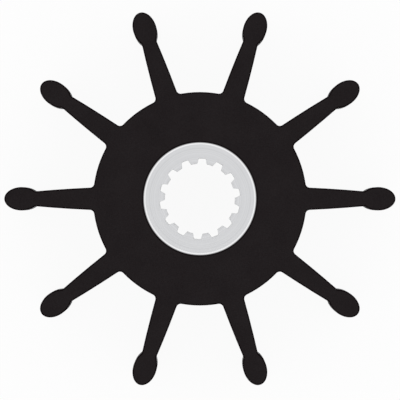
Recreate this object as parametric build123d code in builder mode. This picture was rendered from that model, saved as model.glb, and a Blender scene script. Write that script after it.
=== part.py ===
from build123d import *
import os
from math import hypot, isclose, radians, sqrt, tan

# Flexible pump impeller: a moulded rubber body with tapered vanes, bonded around a splined steel insert.
# The shaft runs along Z, and the origin is where its axis meets the end face that the impeller stands on.
# All sizes are in millimetres, and angles in degrees.

# Whole impeller
impeller_diameter = 96.0  # across two opposite vane tips
impeller_width = 63.0  # along the shaft
hub_diameter = 52.4  # the rubber hub, between the vanes

# Vanes: bowed flanks that taper outward, ending in an oval bead that wipes the pump's wall
vane_count = 10
vane_root_thickness = 5.55  # at the hub's surface
vane_neck_thickness = 3.65  # where the flanks meet the bead
flank_bow = 0.09  # how far each flank stands out from a straight line
bead_length = 8.5  # along the radius
bead_thickness = 5.75
root_fillet = 1.1
neck_fillet = 0.6
rubber_edge_chamfer = 0.35  # along every edge of both end faces

# Spline: straight-flanked grooves that narrow towards their floors
groove_count = 14
spline_diameter = 20.0  # across the groove floors
groove_depth = 1.3
groove_width = 2.05  # halfway down the groove
groove_flank_angle = 13.0  # from the groove's centreline
groove_floor_fillet = 0.25
first_groove_angle = 9.4  # from the vane on +X
spline_lead_in = 0.2  # the depth of the teeth's chamfer at both ends
lead_in_angle = 60.0  # of that chamfer, from the bore's wall

# Insert: a steel tube around the spline, a little shorter than the rubber at both ends
insert_wall = 3.9  # outside the groove floors
insert_recess = 0.3  # from the rubber's end face to the insert's

# Radii of the insert, from the inside out
bore_radius = spline_diameter / 2 - groove_depth
floor_radius = spline_diameter / 2
insert_radius = floor_radius + insert_wall


def corners_at_radius(sketch, radius):
    """The sketch's corners that lie at this distance from the shaft's axis."""
    return sketch.vertices().filter_by(
        lambda corner: isclose(hypot(corner.X, corner.Y), radius, abs_tol=1e-3)
    )


# Vane outline: the vane that points along +X, from a foot inside the hub to the tip of its bead
hub_radius = hub_diameter / 2
root_half = vane_root_thickness / 2
neck_half = vane_neck_thickness / 2
root_x = sqrt(hub_radius**2 - root_half**2)
foot_x = (insert_radius + hub_radius) / 2
bead_x = (impeller_diameter - bead_length) / 2
neck_x = bead_x - bead_length / 2 * sqrt(1 - (vane_neck_thickness / bead_thickness) ** 2)
flank_middle = ((root_x + neck_x) / 2, (root_half + neck_half) / 2 + flank_bow)

with BuildSketch() as vane_outline:
    with BuildLine():
        Polyline((foot_x, 0), (foot_x, root_half), (root_x, root_half))
        ThreePointArc((root_x, root_half), flank_middle, (neck_x, neck_half))
        Line((neck_x, neck_half), (neck_x, 0))
        mirror(about=Plane.XZ)
    make_face()
    with Locations((bead_x, 0)):
        Ellipse(bead_length / 2, bead_thickness / 2)

# Rubber body: hub and vanes in one moulding, with rounded inside corners and a hole for the insert
with BuildPart() as rubber_body:
    with BuildSketch() as body_outline:
        Circle(hub_radius)
        with PolarLocations(0, vane_count):
            add(vane_outline.sketch)
        fillet(corners_at_radius(body_outline, hub_radius), root_fillet)
        fillet(corners_at_radius(body_outline, hypot(neck_x, neck_half)), neck_fillet)
        Circle(insert_radius, mode=Mode.SUBTRACT)
    extrude(amount=impeller_width)
    chamfer(rubber_body.faces().filter_by(Axis.Z).edges(), rubber_edge_chamfer)
rubber_body.part.label = "rubber_body"

# Groove outline: the spline groove that points along +X, from inside the bore to the circle of its floor
mouth_x = bore_radius - groove_depth
middle_x = floor_radius - groove_depth / 2
groove_taper = tan(radians(groove_flank_angle))
mouth_half = groove_width / 2 + (middle_x - mouth_x) * groove_taper
floor_half = groove_width / 2 - (floor_radius - middle_x) * groove_taper

with BuildSketch() as groove_outline:
    with BuildLine():
        Polyline((mouth_x, 0), (mouth_x, mouth_half), (floor_radius, floor_half), (floor_radius, 0))
        mirror(about=Plane.XZ)
    make_face()
    Circle(floor_radius, mode=Mode.INTERSECT)
    fillet(corners_at_radius(groove_outline, floor_radius), groove_floor_fillet)

# Spline insert: a plain tube, chamfered inside, then the grooves broached through its bore
insert_length = impeller_width - 2 * insert_recess
insert_base = Plane.XY.offset(insert_recess)

with BuildPart() as spline_insert:
    with BuildSketch(insert_base):
        Circle(insert_radius)
        Circle(bore_radius, mode=Mode.SUBTRACT)
    extrude(amount=insert_length)
    bore_wall = spline_insert.faces().filter_by(GeomType.CYLINDER).sort_by(SortBy.AREA)[0]
    bore_ends = bore_wall.edges().filter_by(GeomType.CIRCLE)
    chamfer(bore_ends, spline_lead_in, angle=lead_in_angle, reference=bore_wall)
    with BuildSketch(insert_base):
        with PolarLocations(0, groove_count, start_angle=first_groove_angle):
            add(groove_outline.sketch)
    extrude(amount=insert_length, mode=Mode.SUBTRACT)
spline_insert.part.label = "spline_insert"

os.makedirs("parts", exist_ok=True)
export_step(rubber_body.part, "parts/rubber_body.step")
export_step(spline_insert.part, "parts/spline_insert.step")
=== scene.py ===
"""Looks of the rubber pump impeller: finishes on the CAD nodes, a white studio and a camera overhead."""

import bpy
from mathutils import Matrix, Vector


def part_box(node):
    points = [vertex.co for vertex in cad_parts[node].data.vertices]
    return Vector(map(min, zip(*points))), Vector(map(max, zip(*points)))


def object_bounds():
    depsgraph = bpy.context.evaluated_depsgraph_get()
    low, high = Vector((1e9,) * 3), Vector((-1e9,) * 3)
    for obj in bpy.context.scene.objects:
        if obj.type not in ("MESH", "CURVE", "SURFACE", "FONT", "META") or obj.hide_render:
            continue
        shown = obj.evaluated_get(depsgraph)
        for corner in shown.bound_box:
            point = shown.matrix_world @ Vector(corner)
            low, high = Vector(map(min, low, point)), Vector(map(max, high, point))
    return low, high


MM = 0.001  # metres in a millimetre
WHITE = (1.0, 1.0, 1.0, 1.0)

# Faces, told apart by how squarely they look along the shaft: 0 on the walls, and 1 on the end faces
END_FACE_RAMP = (0.50, 0.65)  # walls lie below it, and the end faces and their chamfers above
CHAMFER_FACING = 0.707
CHAMFER_TOLERANCE = 0.1

# Rubber: each pair goes from the bare rubber to where its dusty bloom is thickest
RUBBER_COLOURS = ((0.0072, 0.0047, 0.0054, 1.0), (0.0162, 0.0130, 0.0138, 1.0))
WALL_ROUGHNESS = (0.50, 0.58)
END_ROUGHNESS = (0.70, 0.80)
WALL_GLOSS = 0.5
END_GLOSS = 0.09  # the end faces are far duller than the walls
CHAMFER_GLOSS = 0.02  # the chamfers are duller still, and have no bloom
BLOOM = {"size": 7 * MM, "detail": 6.0}
GRAIN = {"size": 0.22 * MM, "detail": 2.0}
GRAIN_SHARE = 0.6  # of the colour's changes, where the bloom has the rest
GRAIN_DEPTH = 0.03 * MM
DRAW_LINES = {"size": 0.7 * MM, "detail": 3.0, "stretch": 30}  # left along the walls by the mould
DRAW_LINE_DEPTH = 0.9  # as a share of the grain's

# Steel
STEEL_COLOURS = ((0.613, 0.618, 0.631, 1.0), (0.709, 0.714, 0.728, 1.0))  # the marks' hollows and crests
STEEL_ROUGHNESS = (0.34, 0.44)  # from the clearest patches to the cloudiest
STEEL_ANISOTROPY = 0.5
CLOUDS = {"size": 6 * MM, "detail": 3.0}
TURNED_RINGS = {"size": 0.42 * MM, "detail": 4.0}  # on the end faces
BROACH_MARKS = {"size": 0.4 * MM, "detail": 3.0, "stretch": 100}  # along the bore
MARK_DEPTH = 0.004 * MM
# Painted highlight: a lighter ring just inside the outer edge of the insert's end faces
RIM_HIGHLIGHT_COLOUR = (0.92, 0.92, 0.93, 1.0)
RIM_WIDTH = 0.21 * MM
RIM_BLEND = 0.2 * MM  # over which the rim fades into the rings
BOND_COLOUR = (0.008, 0.006, 0.0065, 1.0)
BOND_WIDTH = 0.31 * MM  # over which the rim darkens into the bonding agent round it

# Camera: far above and on a long lens, so the face is seen flat
VIEW_WIDTH = 98.16 * MM  # what the image spans at the upper end face
LENS = 1600  # millimetres
SENSOR = 36  # millimetres
AIM = (0.03 * MM, -0.30 * MM)  # the point of the face at the image's centre

# Studio
FLOOR_SIDE = 40.0  # metres
FLOOR_COLOUR = (0.9, 0.9, 0.9, 1.0)
FLOOR_GLOW = 0.94  # the share of plain white that a camera sees on the floor; the rest takes the shadow

# Shader nodes
NOISE_RANGE = (0.3, 0.7)  # where most of a noise texture's values lie
MIX_COLOUR_A = 6  # sockets of the Mix node, whose names don't tell colours from numbers
MIX_COLOUR_B = 7
MIX_COLOUR_RESULT = 2


def shader_node(tree, kind, inputs=None, **settings):
    """Adds a node. An input is given as a value, or as another node's output to link it to."""
    node = tree.nodes.new(kind)
    for name, value in settings.items():
        setattr(node, name, value)
    for name, value in (inputs or {}).items():
        if isinstance(value, bpy.types.NodeSocket):
            tree.links.new(value, node.inputs[name])
        else:
            node.inputs[name].default_value = value
    return node


def math_node(tree, operation, *values):
    """The output of a Math node."""
    inputs = dict(enumerate(values))
    return shader_node(tree, "ShaderNodeMath", inputs, operation=operation).outputs["Value"]


def vector_node(tree, operation, *values):
    """The Vector Math node for this operation."""
    return shader_node(tree, "ShaderNodeVectorMath", dict(enumerate(values)), operation=operation)


def ramp(tree, value, low, high):
    """Rises from 0 at low to 1 at high, and holds at both ends."""
    inputs = {"Value": value, "From Min": low, "From Max": high}
    return shader_node(tree, "ShaderNodeMapRange", inputs).outputs["Result"]


def noise(tree, vector, size, detail, stretch=1):
    """Noise from 0 to 1 with features of about this size, which the stretch draws out along the shaft."""
    drawn_out = vector_node(tree, "MULTIPLY", vector, (1.0, 1.0, 1 / stretch)).outputs["Vector"]
    inputs = {"Vector": drawn_out, "Scale": 1 / size, "Detail": detail}
    texture = shader_node(tree, "ShaderNodeTexNoise", inputs)
    return ramp(tree, texture.outputs["Fac"], *NOISE_RANGE)


def blend_value(tree, factor, a, b):
    """A number between a and b."""
    return shader_node(tree, "ShaderNodeMix", {"Factor": factor, "A": a, "B": b}).outputs["Result"]


def blend_colour(tree, factor, a, b):
    """A colour between a and b."""
    inputs = {"Factor": factor, MIX_COLOUR_A: a, MIX_COLOUR_B: b}
    return shader_node(tree, "ShaderNodeMix", inputs, data_type="RGBA").outputs[MIX_COLOUR_RESULT]


def empty_material(name):
    """A node material with nothing in it yet."""
    material = bpy.data.materials.new(name)
    material.use_nodes = True
    material.node_tree.nodes.clear()
    return material


def surface(tree, shader):
    """Makes this shader the material's surface."""
    shader_node(tree, "ShaderNodeOutputMaterial", {"Surface": shader})


def facing_shaft(tree, coordinates):
    """How squarely a face looks along the shaft: 0 on the walls, and 1 on the end faces."""
    normal = shader_node(tree, "ShaderNodeSeparateXYZ", {"Vector": coordinates["Normal"]}).outputs["Z"]
    return math_node(tree, "ABSOLUTE", normal)


def on_end_face(tree, facing):
    """1 on the end faces and their chamfers, and 0 on the walls along the shaft."""
    return ramp(tree, facing, *END_FACE_RAMP)


def on_chamfer(tree, facing):
    """1 on the chamfers round the end faces, and 0 elsewhere."""
    return math_node(tree, "COMPARE", facing, CHAMFER_FACING, CHAMFER_TOLERANCE)


def rubber_material():
    """Black moulded rubber: dusty, dull end faces, bare chamfers, and satin walls with faint mould lines."""
    material = empty_material("moulded_rubber")
    tree = material.node_tree
    coordinates = shader_node(tree, "ShaderNodeTexCoord").outputs
    place = coordinates["Object"]
    facing = facing_shaft(tree, coordinates)
    end_face = on_end_face(tree, facing)
    chamfer = on_chamfer(tree, facing)

    bloom = noise(tree, place, **BLOOM)
    grain = noise(tree, place, **GRAIN)
    draw_lines = noise(tree, place, **DRAW_LINES)

    dust = blend_value(tree, GRAIN_SHARE, bloom, grain)
    dust_off_chamfers = blend_value(tree, chamfer, dust, 0.0)
    gloss = blend_value(tree, end_face, WALL_GLOSS, END_GLOSS)
    wall_roughness = blend_value(tree, bloom, *WALL_ROUGHNESS)
    end_roughness = blend_value(tree, bloom, *END_ROUGHNESS)
    bump = shader_node(tree, "ShaderNodeBump", {
        "Height": math_node(tree, "MULTIPLY_ADD", draw_lines, DRAW_LINE_DEPTH, grain),
        "Distance": GRAIN_DEPTH,
    })
    shader = shader_node(tree, "ShaderNodeBsdfPrincipled", {
        "Base Color": blend_colour(tree, dust_off_chamfers, *RUBBER_COLOURS),
        "Roughness": blend_value(tree, end_face, wall_roughness, end_roughness),
        "Specular IOR Level": blend_value(tree, chamfer, gloss, CHAMFER_GLOSS),
        "Normal": bump.outputs["Normal"],
    })
    surface(tree, shader.outputs["BSDF"])
    return material


def with_rim_highlight(tree, satin, radius, outer_radius):
    """The satin colour with a painted highlight round its outer edge, which darkens into the bond at the
    edge.
    """
    bond_edge = outer_radius - BOND_WIDTH
    rim_edge = bond_edge - RIM_WIDTH
    # Painted highlight: the ring just inside the bond is lightened towards a near-white colour
    rim_highlight = ramp(tree, radius, rim_edge - RIM_BLEND / 2, rim_edge + RIM_BLEND / 2)
    bond = ramp(tree, radius, bond_edge, outer_radius)
    satin_with_highlight = blend_colour(tree, rim_highlight, satin, RIM_HIGHLIGHT_COLOUR)
    return blend_colour(tree, bond, satin_with_highlight, BOND_COLOUR)


def steel_material(outer_radius):
    """Satin steel: turned end faces with a painted highlight round their outer edge, and marks along the
    bore from the broach.
    """
    material = empty_material("turned_steel")
    tree = material.node_tree
    coordinates = shader_node(tree, "ShaderNodeTexCoord").outputs
    place = coordinates["Object"]
    end_face = on_end_face(tree, facing_shaft(tree, coordinates))

    across = vector_node(tree, "MULTIPLY", place, (1.0, 1.0, 0.0)).outputs["Vector"]
    radius = vector_node(tree, "LENGTH", across).outputs["Value"]
    along_radius = shader_node(tree, "ShaderNodeCombineXYZ", {"X": radius}).outputs["Vector"]
    rings = noise(tree, along_radius, **TURNED_RINGS)
    broach_marks = noise(tree, place, **BROACH_MARKS)
    marks = blend_value(tree, end_face, broach_marks, rings)
    clouds = noise(tree, place, **CLOUDS)

    satin = blend_colour(tree, marks, *STEEL_COLOURS)
    bump = shader_node(tree, "ShaderNodeBump", {"Height": marks, "Distance": MARK_DEPTH})
    tangent = shader_node(tree, "ShaderNodeTangent", direction_type="RADIAL", axis="Z")
    shader = shader_node(tree, "ShaderNodeBsdfPrincipled", {
        "Base Color": blend_colour(tree, end_face, satin, with_rim_highlight(tree, satin, radius, outer_radius)),
        "Metallic": 1.0,
        "Roughness": blend_value(tree, clouds, *STEEL_ROUGHNESS),
        "Anisotropic": STEEL_ANISOTROPY,
        "Normal": bump.outputs["Normal"],
        "Tangent": tangent.outputs["Tangent"],
    })
    surface(tree, shader.outputs["BSDF"])
    return material


def seen_directly(tree):
    """1 for the rays that show the studio itself: from the camera, in a gloss and through glass."""
    path = shader_node(tree, "ShaderNodeLightPath").outputs
    opaque = math_node(tree, "MAXIMUM", path["Is Camera Ray"], path["Is Glossy Ray"])
    return math_node(tree, "MAXIMUM", opaque, path["Is Transmission Ray"])


def floor_material():
    """Pale matte floor that looks white and keeps a faint shadow."""
    material = empty_material("studio_floor")
    tree = material.node_tree
    matte = shader_node(tree, "ShaderNodeBsdfDiffuse", {"Color": FLOOR_COLOUR})
    white = shader_node(tree, "ShaderNodeEmission", {"Color": WHITE, "Strength": 1.0})
    mixed = shader_node(tree, "ShaderNodeMixShader", {
        0: math_node(tree, "MULTIPLY", seen_directly(tree), FLOOR_GLOW),
        1: matte.outputs["BSDF"],
        2: white.outputs["Emission"],
    })
    surface(tree, mixed.outputs["Shader"])
    return material


def add_floor():
    """The floor that the impeller stands on."""
    bpy.ops.mesh.primitive_plane_add(size=FLOOR_SIDE)
    floor = bpy.context.object
    floor.name = "floor"
    floor.data.materials.append(floor_material())


def add_light_tent():
    """A white world: soft, even light from all round, with nothing brighter for the steel to mirror."""
    world = bpy.data.worlds.new("light_tent")
    world.use_nodes = True
    tree = world.node_tree
    tree.nodes.clear()
    white = shader_node(tree, "ShaderNodeBackground", {"Color": WHITE, "Strength": 1.0})
    shader_node(tree, "ShaderNodeOutputWorld", {"Surface": white.outputs["Background"]})
    bpy.context.scene.world = world


def add_camera(top):
    """The photo's view: straight down onto the upper end face, with +Y up in the image."""
    camera = bpy.data.cameras.new("camera")
    camera.lens = LENS
    camera.sensor_width = SENSOR
    eye = bpy.data.objects.new("camera", camera)
    eye.location = (*AIM, top + VIEW_WIDTH * LENS / SENSOR)
    bpy.context.scene.collection.objects.link(eye)
    bpy.context.scene.camera = eye


def dress(node, material):
    """Gives a CAD node its only material."""
    node.data.materials.clear()
    node.data.materials.append(material)


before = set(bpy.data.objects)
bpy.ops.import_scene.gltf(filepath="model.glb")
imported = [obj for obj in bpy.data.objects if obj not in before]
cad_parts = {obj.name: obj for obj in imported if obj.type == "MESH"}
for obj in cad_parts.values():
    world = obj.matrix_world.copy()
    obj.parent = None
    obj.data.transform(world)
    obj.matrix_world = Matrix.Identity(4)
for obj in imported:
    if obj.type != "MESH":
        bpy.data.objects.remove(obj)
cad_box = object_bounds()

dress(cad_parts["rubber_body"], rubber_material())
dress(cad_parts["spline_insert"], steel_material(outer_radius=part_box("spline_insert")[1].x))

add_floor()
add_light_tent()
add_camera(top=cad_box[1].z)
bpy.context.scene.view_settings.view_transform = "Standard"
